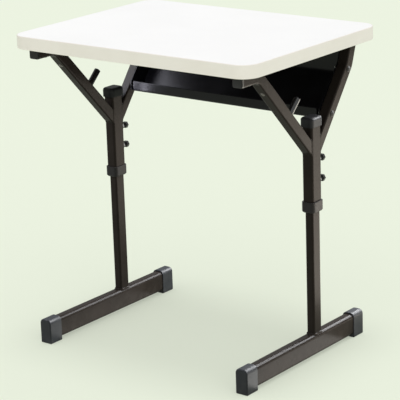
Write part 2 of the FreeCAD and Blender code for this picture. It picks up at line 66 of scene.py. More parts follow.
class Side(Enum):
    """The two legs of the desk, with the sign of their X."""

    LEFT = -1
    RIGHT = 1

    @property
    def tag(self) -> str:
        """The ending of this side's node names."""
        return self.name.lower()


class Body(Enum):
    """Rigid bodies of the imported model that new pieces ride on."""

    UPPER_FRAME = "upper_frame"
    LEFT_LEG = "left_leg"
    RIGHT_LEG = "right_leg"


class Pattern(Enum):
    """Texture that gives a finish its relief."""

    GRAIN = "fine noise, as on moulded plastic and laminate"
    ORANGE_PEEL = "soft cells, as on powder coat"
    CHIPS = "pressed wood chips"
    STREAKS = "drawn lines along Y, as on plated steel"


class NodeSheet:
    """A node tree with short calls for the nodes that the finishes use.

    Attributes:
        MIX_INPUTS: Sockets of a Mix node for its factor and its two colours.
        MIX_OUTPUT: Socket of a Mix node for the mixed colour.
    """

    MIX_INPUTS = (0, 6, 7)
    MIX_OUTPUT = 2

    def __init__(self, tree: bpy.types.NodeTree) -> None:
        """Takes over a tree and clears it.

        Args:
            tree: The node tree of a material, a world or a group.
        """
        self.tree = tree
        self.tree.nodes.clear()

    def add(self, kind: str, **settings: object) -> bpy.types.Node:
        """Adds a node.

        Args:
            kind: The node's type name in Blender.
            **settings: Properties to set on the node.

        Returns:
            The new node.
        """
        node = self.tree.nodes.new(kind)
        for name, value in settings.items():
            setattr(node, name, value)
        return node

    def feed(self, socket: Socket, value: object) -> None:
        """Links an output to a socket, or sets the socket to a plain value.

        Args:
            socket: The input socket.
            value: An output socket, a number or a colour.
        """
        if isinstance(value, Socket):
            self.tree.links.new(value, socket)
        elif isinstance(value, tuple):
            socket.default_value = (*value, 1.0) if socket.type == "RGBA" else value
        else:
            socket.default_value = value

    def place(self) -> Socket:
        """Adds Object coordinates."""
        return self.add("ShaderNodeTexCoord").outputs["Object"]

    def math(self, operation: str, first: object, second: object) -> Socket:
        """Adds a Math node.

        Args:
            operation: The node's operation.
            first: A number or an output socket.
            second: A number or an output socket.

        Returns:
            The result.
        """
        node = self.add("ShaderNodeMath", operation=operation)
        self.feed(node.inputs[0], first)
        self.feed(node.inputs[1], second)
        return node.outputs[0]

    def dot(self, first: object, second: object) -> Socket:
        """Adds a dot product of two directions.

        Args:
            first: A direction or an output socket.
            second: A direction or an output socket.

        Returns:
            The dot product.
        """
        node = self.add("ShaderNodeVectorMath", operation="DOT_PRODUCT")
        self.feed(node.inputs[0], first)
        self.feed(node.inputs[1], second)
        return node.outputs["Value"]

    def mix(self, factor: object, first: object, second: object) -> Socket:
        """Adds a mix of two colours.

        Args:
            factor: Share of the second colour.
            first: The colour at a share of zero.
            second: The colour at a share of one.

        Returns:
            The mixed colour.
        """
        node = self.add("ShaderNodeMix", data_type="RGBA")
        for index, value in zip(self.MIX_INPUTS, (factor, first, second)):
            self.feed(node.inputs[index], value)
        return node.outputs[self.MIX_OUTPUT]

    def spread(self, value: object, span: Pair, to: Pair) -> Socket:
        """Adds a smooth Map Range node.

        Args:
            value: The value to map.
            span: The range that it comes from.
            to: The range that it goes to.

        Returns:
            The mapped value.
        """
        node = self.add("ShaderNodeMapRange", interpolation_type="SMOOTHSTEP")
        for socket, entry in zip(node.inputs, (value, *span, *to)):
            self.feed(socket, entry)
        return node.outputs[0]


@dataclass(frozen=True)
class Patches:
    """Noise that an effect is broken up by.

    Attributes:
        detail: Octaves of the noise.
        span: Noise values at which a patch starts and is full.
    """

    detail: float
    span: Pair

    def add(self, sheet: NodeSheet, scale: object) -> Socket:
        """Adds the patches to a group.

        Args:
            sheet: The group's sheet.
            scale: Scale per metre, as a number or an output socket.

        Returns:
            The patches, from zero to one.
        """
        noise = sheet.add("ShaderNodeTexNoise")
        sheet.feed(noise.inputs["Vector"], sheet.place())
        sheet.feed(noise.inputs["Scale"], scale)
        sheet.feed(noise.inputs["Detail"], self.detail)
        return sheet.spread(noise.outputs["Fac"], self.span, UNIT)


class SharedEffects:
    """Node groups that several finishes use, each built once.

    Attributes:
        GRAIN_DETAIL: Octaves of the fine grain.
        STREAK_STRETCH: Scale of the drawn streaks on each axis.
        CLOUDS: Noise of the slow drifts.
        RUBS: Noise that breaks up the worn edges.
        RUB_SCALE: Its scale, per metre.
        EDGE_SAMPLES: Samples taken to find an edge.
        EDGE_SPAN: Cosine between the true and the softened normal, off an edge and on it.
        SCUFFS: Noise of the dust.
        SCUFF_SCALE: Its scale, per metre.
    """

    GRAIN_DETAIL = 3.0
    STREAK_STRETCH: Point = (1.0, 0.06, 1.0)
    CLOUDS = Patches(4.0, (0.3, 0.7))
    RUBS = Patches(5.0, (0.4, 0.62))
    RUB_SCALE = 180.0
    EDGE_SAMPLES = 4
    EDGE_SPAN: Pair = (0.99, 0.86)
    SCUFFS = Patches(8.0, (0.42, 0.7))
    SCUFF_SCALE = 60.0

    def __init__(self) -> None:
        """Builds the relief, cloud, wear and dust groups."""
        self.relief = {pattern: self._relief(pattern) for pattern in Pattern}
        self.clouds = self._clouds()
        self.wear = self._wear()
        self.dust = self._dust()

    @staticmethod
    def _start(title: str, inputs: tuple[str, ...], output: str) -> tuple[NodeSheet, dict[str, Socket], Socket]:
        """Starts a group with number sockets.

        Args:
            title: The group's name.
            inputs: Names of the inputs, which every finish sets.
            output: Name of the one output.

        Returns:
            The group's sheet, its inputs by name, and the socket that its result goes to.
        """
        tree = bpy.data.node_groups.new(title, "ShaderNodeTree")
        sheet = NodeSheet(tree)
        for name in inputs:
            tree.interface.new_socket(name, in_out="INPUT", socket_type="NodeSocketFloat")
        tree.interface.new_socket(output, in_out="OUTPUT", socket_type="NodeSocketFloat")
        entry = sheet.add("NodeGroupInput")
        leave = sheet.add("NodeGroupOutput")
        return sheet, {name: entry.outputs[name] for name in inputs}, leave.inputs[output]

    def _relief(self, pattern: Pattern) -> bpy.types.NodeTree:
        """Builds the height group of one pattern.

        Args:
            pattern: The texture to build.

        Returns:
            The node group, with a Scale input and a Height output.
        """
        sheet, given, result = self._start("relief_" + pattern.name.lower(), ("Scale",), "Height")
        place = sheet.place()
        if pattern in (Pattern.CHIPS, Pattern.ORANGE_PEEL):
            cells = "F1" if pattern is Pattern.CHIPS else "SMOOTH_F1"
            texture = sheet.add("ShaderNodeTexVoronoi", feature=cells)
            height = texture.outputs["Distance"]
        else:
            texture = sheet.add("ShaderNodeTexNoise")
            sheet.feed(texture.inputs["Detail"], self.GRAIN_DETAIL)
            height = texture.outputs["Fac"]
        if pattern is Pattern.STREAKS:
            drawn = sheet.add("ShaderNodeMapping")
            sheet.feed(drawn.inputs["Vector"], place)
            sheet.feed(drawn.inputs["Scale"], self.STREAK_STRETCH)
            place = drawn.outputs[0]
        sheet.feed(texture.inputs["Vector"], place)
        sheet.feed(texture.inputs["Scale"], given["Scale"])
        sheet.feed(result, height)
        return sheet.tree

    def _clouds(self) -> bpy.types.NodeTree:
        """Builds the group of slow drifts in colour and gloss.

        Returns:
            The node group, with a Scale input and a Cloud output.
        """
        sheet, given, result = self._start("slow_clouds", ("Scale",), "Cloud")
        sheet.feed(result, self.CLOUDS.add(sheet, given["Scale"]))
        return sheet.tree

    def _wear(self) -> bpy.types.NodeTree:
        """Builds the group that marks sharp edges, broken up by noise.

        Returns:
            The node group, with Radius and Amount inputs and a Mask output.
        """
        sheet, given, result = self._start("edge_wear", ("Radius", "Amount"), "Mask")
        softened = sheet.add("ShaderNodeBevel", samples=self.EDGE_SAMPLES)
        sheet.feed(softened.inputs["Radius"], given["Radius"])
        across = sheet.dot(softened.outputs["Normal"], sheet.add("ShaderNodeNewGeometry").outputs["Normal"])
        edge = sheet.spread(across, self.EDGE_SPAN, UNIT)
        broken = self.RUBS.add(sheet, self.RUB_SCALE)
        sheet.feed(result, sheet.math("MULTIPLY", sheet.math("MULTIPLY", edge, broken), given["Amount"]))
        return sheet.tree

    def _dust(self) -> bpy.types.NodeTree:
        """Builds the group of faint scuffs and dust that fade out above the floor.

        Returns:
            The node group, with Height and Amount inputs and a Mask output.
        """
        sheet, given, result = self._start("floor_dust", ("Height", "Amount"), "Mask")
        split = sheet.add("ShaderNodeSeparateXYZ")
        sheet.feed(split.inputs[0], sheet.place())
        share = sheet.math("DIVIDE", split.outputs["Z"], given["Height"])
        low = sheet.spread(share, UNIT, (1.0, 0.0))
        patch = self.SCUFFS.add(sheet, self.SCUFF_SCALE)
        sheet.feed(result, sheet.math("MULTIPLY", sheet.math("MULTIPLY", low, patch), given["Amount"]))
        return sheet.tree


@dataclass(frozen=True)
class Finish:
    """One surface of the desk: its colours, gloss and relief.

    Attributes:
        title: The material's name.
        colour: Main colour.
        drift: Colour that the slow clouds lead to.
        roughness: Roughness in the clear and in the clouded places.
        pattern: Texture of the relief.
        grains: Scale of the relief, per metre.
        relief: Height of the relief, in metres.
        cloud_scale: Scale of the clouds, per metre.
        wear: Share of the edges that is worn.
        worn: Colour on worn edges.
        dust: Share of dust near the floor.
        chip_colour: Second colour that the relief itself brings, or None.
        metallic: One for bare metal.
        specular: Specular level.
        coat: Weight of a clear coat.
        WEAR_RADIUS: Reach of the wear from an edge.
        DUST_HEIGHT: Height above the floor at which the dust ends.
        DUST_COLOUR: Colour of the dust.
        CHIP_SPAN: Relief at which the chips' colour starts and is full.
        COAT_ROUGHNESS: Roughness of the clear coat.
        BUMP_STRENGTH: Strength of the relief.
    """

    WEAR_RADIUS: ClassVar[float] = 1.2 * MM
    DUST_HEIGHT: ClassVar[float] = 70.0 * MM
    DUST_COLOUR: ClassVar[Colour] = (0.36, 0.34, 0.3)
    CHIP_SPAN: ClassVar[Pair] = (0.25, 0.6)
    COAT_ROUGHNESS: ClassVar[float] = 0.08
    BUMP_STRENGTH: ClassVar[float] = 0.6

    title: str
    colour: Colour
    drift: Colour
    roughness: Pair
    pattern: Pattern = Pattern.GRAIN
    grains: float = 1500.0
    relief: float = 0.1 * MM
    cloud_scale: float = 14.0
    wear: float = 0.0
    worn: Colour = WHITE
    dust: float = 0.0
    chip_colour: Colour | None = None
    metallic: float = 0.0
    specular: float = 0.5
    coat: float = 0.0

    def material(self, effects: SharedEffects) -> bpy.types.Material:
        """Builds the finish as a procedural material.

        Args:
            effects: The shared node groups.

        Returns:
            The new material.
        """
        made = bpy.data.materials.new(self.title)
        made.use_nodes = True
        sheet = NodeSheet(made.node_tree)
        shader = sheet.add("ShaderNodeBsdfPrincipled")
        sheet.feed(sheet.add("ShaderNodeOutputMaterial").inputs["Surface"], shader.outputs["BSDF"])
        shader.inputs["Metallic"].default_value = self.metallic
        shader.inputs["Specular IOR Level"].default_value = self.specular
        shader.inputs["Coat Weight"].default_value = self.coat
        shader.inputs["Coat Roughness"].default_value = self.COAT_ROUGHNESS
        height = self._effect(sheet, effects.relief[self.pattern], Scale=self.grains)
        cloud = self._effect(sheet, effects.clouds, Scale=self.cloud_scale)
        sheet.feed(shader.inputs["Base Color"], self._coloured(sheet, effects, height, cloud))
        sheet.feed(shader.inputs["Roughness"], sheet.spread(cloud, UNIT, self.roughness))
        bump = sheet.add("ShaderNodeBump")
        bump.inputs["Strength"].default_value = self.BUMP_STRENGTH
        bump.inputs["Distance"].default_value = self.relief
        sheet.feed(bump.inputs["Height"], height)
        sheet.feed(shader.inputs["Normal"], bump.outputs["Normal"])
        return made

    def _coloured(self, sheet: NodeSheet, effects: SharedEffects, height: Socket, cloud: Socket) -> Socket:
        """Lays the drift, chips, wear and dust over the main colour.

        Args:
            sheet: The material's sheet.
            effects: The shared node groups.
            height: The relief.
            cloud: The slow clouds.

        Returns:
            The surface's colour.
        """
        colour = sheet.mix(cloud, self.colour, self.drift)
        if self.chip_colour:
            colour = sheet.mix(sheet.spread(height, self.CHIP_SPAN, UNIT), colour, self.chip_colour)
        if self.wear:
            mask = self._effect(sheet, effects.wear, Radius=self.WEAR_RADIUS, Amount=self.wear)
            colour = sheet.mix(mask, colour, self.worn)
        if self.dust:
            mask = self._effect(sheet, effects.dust, Height=self.DUST_HEIGHT, Amount=self.dust)
            colour = sheet.mix(mask, colour, self.DUST_COLOUR)
        return colour

    @staticmethod
    def _effect(sheet: NodeSheet, tree: bpy.types.NodeTree, **values: float) -> Socket:
        """Places a shared group with this finish's own values.

        Args:
            sheet: The material's sheet.
            tree: The shared group.
            **values: Values of the group's inputs.

        Returns:
            The group's output.
        """
        node = sheet.add("ShaderNodeGroup", node_tree=tree)
        for name, value in values.items():
            node.inputs[name].default_value = value
        return node.outputs[0]


class FinishBook:
    """All finishes of the desk, and the rule that gives each CAD node its finish."""

    LAMINATE = Finish("white_laminate", (0.945, 0.945, 0.94), (0.96, 0.96, 0.955), (0.58, 0.66),
                      grains=2600.0, relief=0.04 * MM, cloud_scale=6.0, specular=0.05)
    BACKING = Finish("dark_backing_laminate", (0.045, 0.032, 0.024), (0.06, 0.043, 0.032), (0.75, 0.85),
                     relief=0.06 * MM, cloud_scale=9.0, specular=0.06)
    BAND = Finish("cream_edge_band", (0.865, 0.817, 0.765), (0.89, 0.845, 0.795), (0.4, 0.5),
                  grains=1800.0, relief=0.05 * MM, cloud_scale=18.0, wear=0.25, worn=(0.91, 0.88, 0.84),
                  specular=0.4)
    BOARD = Finish("pressed_chip_board", (0.52, 0.37, 0.2), (0.6, 0.45, 0.27), (0.75, 0.9),
                   Pattern.CHIPS, grains=320.0, relief=0.3 * MM, chip_colour=(0.33, 0.21, 0.1))
    FRAME = Finish("brown_black_powder_coat", (0.0119, 0.0095, 0.0078), (0.0143, 0.0114, 0.0094), (0.25, 0.32),
                   Pattern.ORANGE_PEEL, grains=900.0, relief=0.06 * MM, cloud_scale=20.0, wear=0.1,
                   worn=(0.06, 0.052, 0.045), dust=0.012, specular=0.04)
    TRAY = Finish("black_powder_coat", (0.0029, 0.0029, 0.0034), (0.004, 0.004, 0.0048), (0.32, 0.4),
                  Pattern.ORANGE_PEEL, grains=900.0, relief=0.05 * MM, wear=0.25, worn=(0.05, 0.05, 0.055),
                  specular=0.16)
    BOLT = Finish("dull_black_bolt_coat", (0.023, 0.0224, 0.0213), (0.0299, 0.0287, 0.0276), (0.6, 0.7),
                  relief=0.05 * MM, cloud_scale=60.0, wear=0.3, worn=(0.06, 0.058, 0.055), specular=0.12)
    MOULDED = Finish("grey_moulded_plastic", (0.0138, 0.0152, 0.0176), (0.0171, 0.019, 0.0218), (0.4, 0.52),
                     cloud_scale=30.0, wear=0.35, worn=(0.08, 0.086, 0.095), dust=0.02, specular=0.16)
    COLLAR = Finish("black_brown_moulded_plastic", (0.0121, 0.0113, 0.011), (0.0163, 0.0152, 0.0147), (0.4, 0.5),
                    cloud_scale=40.0, wear=0.35, worn=(0.06, 0.058, 0.058), specular=0.1)
    PLUG = Finish("black_moulded_plastic", (0.0121, 0.0119, 0.0123), (0.0176, 0.0173, 0.0176), (0.4, 0.5),
                  cloud_scale=40.0, wear=0.3, worn=(0.06, 0.06, 0.063), specular=0.24)
    CAP = Finish("dark_moulded_plastic", (0.0113, 0.0115, 0.0124), (0.0149, 0.0153, 0.0162), (0.46, 0.56),
                 cloud_scale=40.0, wear=0.35, worn=(0.07, 0.073, 0.08), specular=0.14)
    PEG = Finish("gloss_black_dip", (0.008, 0.008, 0.009), (0.012, 0.012, 0.013), (0.2, 0.28),
                 grains=500.0, relief=0.04 * MM, coat=0.3)
    # Small plug under each arm's bend. Its pale colour, far lighter than the frame, and the lighter rim that its
    # wear values give are a painted highlight for the light spot at the bend, laid on the plug's own dark grey.
    VENT = Finish("vent_plug_plastic", (0.0715, 0.065, 0.0585), (0.091, 0.0832, 0.0754), (0.4, 0.5),
                  relief=0.08 * MM, wear=0.4, worn=(0.15, 0.145, 0.135))
    ZINC = Finish("zinc_plated_steel", (0.34, 0.34, 0.345), (0.42, 0.415, 0.4), (0.3, 0.42),
                  Pattern.STREAKS, grains=2500.0, relief=0.04 * MM, cloud_scale=90.0, wear=0.5,
                  worn=(0.6, 0.6, 0.6), metallic=1.0)
    OXIDE = Finish("black_oxide_steel", (0.018, 0.0175, 0.017), (0.026, 0.025, 0.024), (0.32, 0.42),
                   Pattern.STREAKS, grains=2500.0, relief=0.04 * MM, cloud_scale=90.0, wear=0.4,
                   worn=(0.12, 0.118, 0.115))

    NODE_RULES: tuple[tuple[str, Finish], ...] = (
        ("desktop_laminate", LAMINATE), ("desktop_backing", BACKING), ("desktop_edge_band", BAND),
        ("desktop_board", BOARD), ("book_tray", TRAY), ("tray_bolts", BOLT), ("tray_nuts", ZINC),
        ("sleeve_cap", CAP), ("sleeve_collar", COLLAR), ("foot_cap", MOULDED), ("column_glide", MOULDED),
        ("front_arm_plug", PLUG), ("arm_vent", VENT), ("bag_peg", PEG), ("lock_", OXIDE),
        ("front_screws", ZINC), ("rear_screws", ZINC), ("", FRAME),
    )

    def __init__(self) -> None:
        """Starts the book with no material made yet."""
        self.effects = SharedEffects()
        self.made: dict[str, bpy.types.Material] = {}

    def material(self, finish: Finish) -> bpy.types.Material:
        """Gives a finish's material, made at its first use.

        Args:
            finish: The finish wanted.

        Returns:
            Its one material.
        """
        if finish.title not in self.made:
            self.made[finish.title] = finish.material(self.effects)
        return self.made[finish.title]

    def dress(self, piece: bpy.types.Object, finish: Finish) -> None:
        """Gives a piece one finish all over."""
        piece.data.materials.clear()
        piece.data.materials.append(self.material(finish))

    def dress_nodes(self, nodes: dict[str, bpy.types.Object]) -> None:
        """Gives every CAD node the finish of the first rule that fits its name.

        Args:
            nodes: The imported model's objects by node name.
        """
        for name, piece in nodes.items():
            finish = next(rule for start, rule in self.NODE_RULES if name.startswith(start))
            self.dress(piece, finish)
            LOG.info("%s: %s", name, finish.title)


def finish_piece(bm: bmesh.types.BMesh, name: str, place: Matrix) -> bpy.types.Object:
    """Turns a bmesh into an object at the origin, with its place in its mesh.

    Args:
        bm: The shape, which is freed.
        name: The new piece's name.
        place: Matrix from the shape's own axes to the desk's frame.

    Returns:
        The new object.
    """
    bmesh.ops.remove_doubles(bm, verts=bm.verts[:], dist=MERGE_DISTANCE)
    bmesh.ops.transform(bm, matrix=place, verts=bm.verts[:])
    bmesh.ops.recalc_face_normals(bm, faces=bm.faces[:])
    mesh = bpy.data.meshes.new(name)
    bm.to_mesh(mesh)
    bm.free()
    mesh.shade_smooth()
    mesh.set_sharp_from_angle(angle=SHARP_ANGLE)
    piece = bpy.data.objects.new(name, mesh)
    bpy.context.scene.collection.objects.link(piece)
    return piece


def axes(origin: Vector, right: Vector, up: Vector) -> Matrix:
    """Matrix that puts local X, Y and Z on right, up and their cross product, at an origin."""
    turn = Matrix((right, up, right.cross(up))).transposed()
    return Matrix.Translation(origin) @ turn.to_4x4()


@dataclass
class WeldBead:
    """Rippled fillet of weld round a tube where it meets another piece.

    Attributes:
        name: The piece's name.
        body: The body that it rides on.
        width: Tube's width along the local X.
        depth: Tube's width along the local Y.
        radius: Corner radius of that section.
        place: Matrix of the seam: local Z leaves the seam along its normal.
        lean: How far the tube moves along local Y for each unit of Z.
        throat: Size of the fillet.
        sink: How far the fillet starts below the seam's plane.
        seat_width: Width along local X of the piece under the seam, where its edges are rounded.
        seat_radius: Radius of those edges, or zero for a flat seat.
        SECTION: Offset and height of the outer rings, as shares of the throat.
        INNER_SHARE: Offset of the hidden inner face, as a share of the throat.
        CORNER_SEGMENTS: Steps round a corner.
        RUN_CUTS: Cuts along a straight run.
        SHORTEST_RUN: Length over which an edge counts as a run.
        RIPPLE_STEP: Length from a ripple's crest to the next trough.
        RIPPLE_SHARE: Height of a ripple, as a share of the throat.
        SEAT_SHARE: Share of the seat's radius that the bead follows.
    """

    SECTION: ClassVar[tuple[Pair, ...]] = ((0.82, 0.35), (0.45, 0.75), (0.02, 1.0))
    INNER_SHARE: ClassVar[float] = -0.5
    CORNER_SEGMENTS: ClassVar[int] = 7
    RUN_CUTS: ClassVar[int] = 14
    SHORTEST_RUN: ClassVar[float] = 3.0 * MM
    RIPPLE_STEP: ClassVar[float] = 1.1 * MM
    RIPPLE_SHARE: ClassVar[float] = 0.09
    SEAT_SHARE: ClassVar[float] = 0.95

    name: str
    body: Body
    width: float
    depth: float
    radius: float
    place: Matrix
    lean: float = 0.0
    throat: float = 1.6 * MM
    sink: float = 0.6 * MM
    seat_width: float = 0.0
    seat_radius: float = 0.0

    def _loop(self, bm: bmesh.types.BMesh) -> Loop:
        """Draws the outer line of the fillet.

        Args:
            bm: The empty shape.

        Returns:
            One closed loop of edges.
        """
        wide, deep = self.width + 2 * self.throat, self.depth + 2 * self.throat
        bmesh.ops.create_grid(bm, x_segments=1, y_segments=1, size=0.5)
        bmesh.ops.scale(bm, vec=(wide, deep, 1.0), verts=bm.verts[:])
        bmesh.ops.bevel(bm, geom=bm.verts[:], offset=self.radius + self.throat, affect="VERTICES",
                        segments=self.CORNER_SEGMENTS, profile=0.5, material=-1)
        bmesh.ops.delete(bm, geom=bm.faces[:], context="FACES_ONLY")
        runs = [edge for edge in bm.edges if edge.calc_length() > self.SHORTEST_RUN]
        bmesh.ops.subdivide_edges(bm, edges=runs, cuts=self.RUN_CUTS)
        bmesh.ops.translate(bm, vec=(0.0, -self.lean * self.sink, -self.sink), verts=bm.verts[:])
        return bm.edges[:]

    def _ring(self, bm: bmesh.types.BMesh, edges: Loop, offset: float, rise: float, previous: Pair) -> Loop:
        """Extrudes the last loop to a new offset and height.

        Args:
            bm: The shape.
            edges: The last loop.
            offset: New distance of the loop outside the tube.
            rise: New height above the seam.
            previous: Offset and height of the last loop.

        Returns:
            The new loop's edges.
        """
        grown = bmesh.ops.extrude_edge_only(bm, edges=edges)["geom"]
        verts = [part for part in grown if isinstance(part, bmesh.types.BMVert)]
        last_offset, last_rise = previous
        bmesh.ops.translate(bm, vec=(0.0, -self.lean * last_rise, 0.0), verts=verts)
        ratio = ((self.width + 2 * offset) / (self.width + 2 * last_offset),
                 (self.depth + 2 * offset) / (self.depth + 2 * last_offset), 1.0)
        bmesh.ops.scale(bm, vec=ratio, verts=verts)
        bmesh.ops.translate(bm, vec=(0.0, self.lean * rise, rise - last_rise), verts=verts)
        return [part for part in grown if isinstance(part, bmesh.types.BMEdge)]

    def _ripple(self, bm: bmesh.types.BMesh) -> None:
        """Raises and sinks the bead in small waves round the tube.

        Args:
            bm: The smooth bead, with its normals outwards.
        """
        waves = round((self.width + self.depth) / self.RIPPLE_STEP)
        for vert in bm.verts:
            wave = math.sin(waves * math.atan2(vert.co.y / self.depth, vert.co.x / self.width))
            bmesh.ops.translate(bm, vec=vert.normal * (self.RIPPLE_SHARE * self.throat * wave), verts=[vert])

    def _follow_seat(self, bm: bmesh.types.BMesh) -> None:
        """Bends the bead down over the rounded edges of the piece under it.

        Args:
            bm: The shape, on a flat seat so far.
        """
        flat = 0.5 * self.seat_width - self.seat_radius
        for vert in bm.verts:
            reach = min(max(abs(vert.co.x) - flat, 0.0), self.SEAT_SHARE * self.seat_radius)
            drop = self.seat_radius - math.sqrt(self.seat_radius ** 2 - reach ** 2)
            aside = math.copysign(min(abs(vert.co.x), flat + reach), vert.co.x) - vert.co.x
            bmesh.ops.translate(bm, vec=(aside, -self.lean * drop, -drop), verts=[vert])

    def build(self, book: FinishBook) -> bpy.types.Object:
        """Models the bead and gives it the frame's coat.

        Args:
            book: The finishes.

        Returns:
            The bead.
        """
        bm = bmesh.new()
        first = self._loop(bm)
        last, state = first, (self.throat, -self.sink)
        inner = self.INNER_SHARE * self.throat
        outside = [(out * self.throat, up * self.throat) for out, up in self.SECTION]
        for offset, rise in (*outside, (inner, self.throat), (inner, -self.sink)):
            last = self._ring(bm, last, offset, rise, state)
            state = (offset, rise)
        bmesh.ops.bridge_loops(bm, edges=first + last)
        bmesh.ops.recalc_face_normals(bm, faces=bm.faces[:])
        self._ripple(bm)
        if self.seat_radius:
            self._follow_seat(bm)
        piece = finish_piece(bm, self.name, self.place)
        book.dress(piece, FinishBook.FRAME)
        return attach(piece, self.body.value)


@dataclass
class LockScrew:
    """Hex-head clamp screw with a real thread, in place of the plain solid of the same size.

    Attributes:
        node: CAD node that it stands for, which is also its body.
        flats: Width of the head across its flats.
        head: Height of the head.
        crest: Radius over the thread.
        root: Radius at the bottom of the thread.
        pitch: Pitch of the thread.
        chamfer: Chamfer on the head's corners.
        HEAD_SIDES: Sides of the head.
        CORE_SEGMENTS: Steps round the core.
        TURN_STEPS: Steps in one turn of the thread.
        THREAD_BITE: How deep inside the core the thread starts.
        FLANKS: Start and end of the thread's ridge, as shares of the pitch.
        LAND: Start and end of the ridge's flat top, as shares of the pitch.
    """

    HEAD_SIDES: ClassVar[int] = 6
    CORE_SEGMENTS: ClassVar[int] = 32
    TURN_STEPS: ClassVar[int] = 24
    THREAD_BITE: ClassVar[float] = 0.15 * MM
    FLANKS: ClassVar[Pair] = (0.08, 0.92)
    LAND: ClassVar[Pair] = (0.44, 0.56)

    node: str
    flats: float = 13.0 * MM
    head: float = 6.5 * MM
    crest: float = 4.0 * MM
    root: float = 3.35 * MM
    pitch: float = 1.25 * MM
    chamfer: float = 0.8 * MM

    def _head(self, bm: bmesh.types.BMesh, base: float) -> None:
        """Models the hexagonal head with a chamfered end face.

        Args:
            bm: The shape.
            base: Height of the head's seat on the screw's axis.
        """
        made = bmesh.ops.create_circle(bm, cap_ends=True, segments=self.HEAD_SIDES,
                                       radius=self.flats / math.sqrt(3))
        bmesh.ops.rotate(bm, cent=(0, 0, 0), matrix=Matrix.Rotation(math.pi / 2, 3, "Z"), verts=made["verts"])
        bmesh.ops.translate(bm, vec=(0, 0, base), verts=made["verts"])
        seat = made["verts"][0].link_faces[0]
        raised = bmesh.ops.extrude_face_region(bm, geom=[seat], use_keep_orig=True)["geom"]
        top = [part for part in raised if isinstance(part, bmesh.types.BMFace)]
        corners = [part for part in raised if isinstance(part, bmesh.types.BMVert)]
        bmesh.ops.translate(bm, vec=(0, 0, self.head - 0.5 * self.chamfer), verts=corners)
        bmesh.ops.inset_region(bm, faces=top, thickness=self.chamfer, depth=0.5 * self.chamfer)

    def _thread(self, bm: bmesh.types.BMesh, length: float) -> None:
        """Models the core and winds the thread round it.

        Args:
            bm: The shape.
            length: Length of the shank.
        """
        core = bmesh.ops.create_cone(bm, cap_ends=True, segments=self.CORE_SEGMENTS, radius1=self.root,
                                     radius2=self.root, depth=length)
        bmesh.ops.translate(bm, vec=(0, 0, 0.5 * length), verts=core["verts"])
        turns = math.floor((length - self.pitch) / self.pitch)
        inside = self.root - self.THREAD_BITE
        (start, end), (rise, fall) = self.FLANKS, self.LAND
        profile = [(inside, start), (self.crest, rise), (self.crest, fall), (inside, end)]
        corners = [bm.verts.new((radius, 0.0, share * self.pitch)) for radius, share in profile]
        face = bm.faces.new(corners)
        steps = self.TURN_STEPS * turns
        bmesh.ops.spin(bm, geom=[face, *face.edges, *face.verts], cent=(0, 0, 0), axis=(0, 0, 1),
                       dvec=(0, 0, self.pitch * turns / steps), angle=math.tau * turns, steps=steps)

    def build(self, book: FinishBook) -> bpy.types.Object:
        """Models the screw where its CAD node is.

        Args:
            book: The finishes.

        Returns:
            The screw.
        """
        low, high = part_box(self.node)
        middle = 0.5 * (low + high)
        length = high.y - low.y - self.head
        bm = bmesh.new()
        self._head(bm, length)
        self._thread(bm, length)
        place = axes(Vector((middle.x, low.y, middle.z)), Vector((1, 0, 0)), Vector((0, 0, -1)))
        piece = finish_piece(bm, "threaded_" + self.node, place)
        book.dress(piece, FinishBook.OXIDE)
        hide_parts(self.node)
        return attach(piece, self.node)


